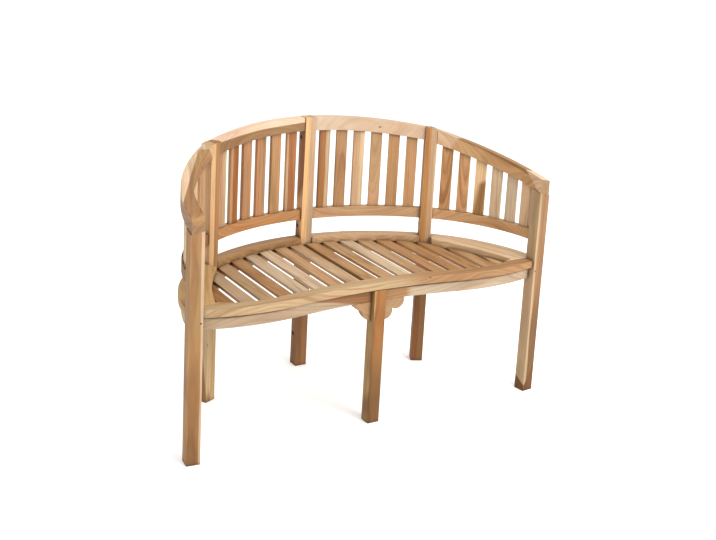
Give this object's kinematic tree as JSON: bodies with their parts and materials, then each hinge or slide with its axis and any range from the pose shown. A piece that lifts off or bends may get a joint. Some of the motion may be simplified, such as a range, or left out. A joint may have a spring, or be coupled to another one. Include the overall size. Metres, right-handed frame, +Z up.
{
  "type": "half-moon garden bench",
  "caption": "Half-moon teak garden bench with a curved slatted back that sweeps down into slatted arms, a crescent seat of straight slats and a wavy front board.",
  "frame": {"origin": "on the floor, under the middle of the bench's overall width and depth", "axes": "+X across the bench towards the sitter's left, +Y from the sitter's knees to the back, +Z up"},
  "size_m": [1.2228, 0.555, 0.859],
  "materials": {
    "teak": "sanded and lightly oiled, unvarnished",
    "zinc_plated_steel": "zinc plated, dull"
  },
  "bodies": {
    "root": {"centre_front_leg": "teak", "centre_leg_brackets": "teak", "front_seat_board": "teak", "left_arm_lower_rail": "teak", "left_arm_panel_slats": "teak", "left_arm_top_rail": "teak", "left_back_apron": "teak", "left_back_ledger": "teak", "left_back_lower_rail": "teak", "left_back_panel_slats": "teak", "left_back_seat_board": "teak", "left_back_top_rail": "teak", "left_front_apron": "teak", "left_front_ledger": "teak", "left_front_leg": "teak", "left_middle_post_half": "teak", "left_side_apron": "teak", "left_side_ledger": "teak", "left_side_post_arm_half": "teak", "left_side_post_back_half": "teak", "left_side_seat_board": "teak", "middle_bearer": "teak", "panel_bolts": "zinc_plated_steel", "right_arm_lower_rail": "teak", "right_arm_panel_slats": "teak", "right_arm_top_rail": "teak", "right_back_apron": "teak", "right_back_ledger": "teak", "right_back_lower_rail": "teak", "right_back_panel_slats": "teak", "right_back_seat_board": "teak", "right_back_top_rail": "teak", "right_front_apron": "teak", "right_front_ledger": "teak", "right_front_leg": "teak", "right_middle_post_half": "teak", "right_side_apron": "teak", "right_side_ledger": "teak", "right_side_post_arm_half": "teak", "right_side_post_back_half": "teak", "right_side_seat_board": "teak", "seat_slat_01": "teak", "seat_slat_02": "teak", "seat_slat_03": "teak", "seat_slat_04": "teak", "seat_slat_05": "teak", "seat_slat_06": "teak", "seat_slat_07": "teak", "seat_slat_08": "teak", "seat_slat_09": "teak", "seat_slat_10": "teak", "seat_slat_11": "teak", "seat_slat_12": "teak", "seat_slat_13": "teak", "seat_slat_14": "teak", "seat_slat_15": "teak", "seat_slat_16": "teak", "seat_slat_17": "teak", "slat_screws": "zinc_plated_steel", "tenon_pins": "zinc_plated_steel"}
  },
  "joints": []
}
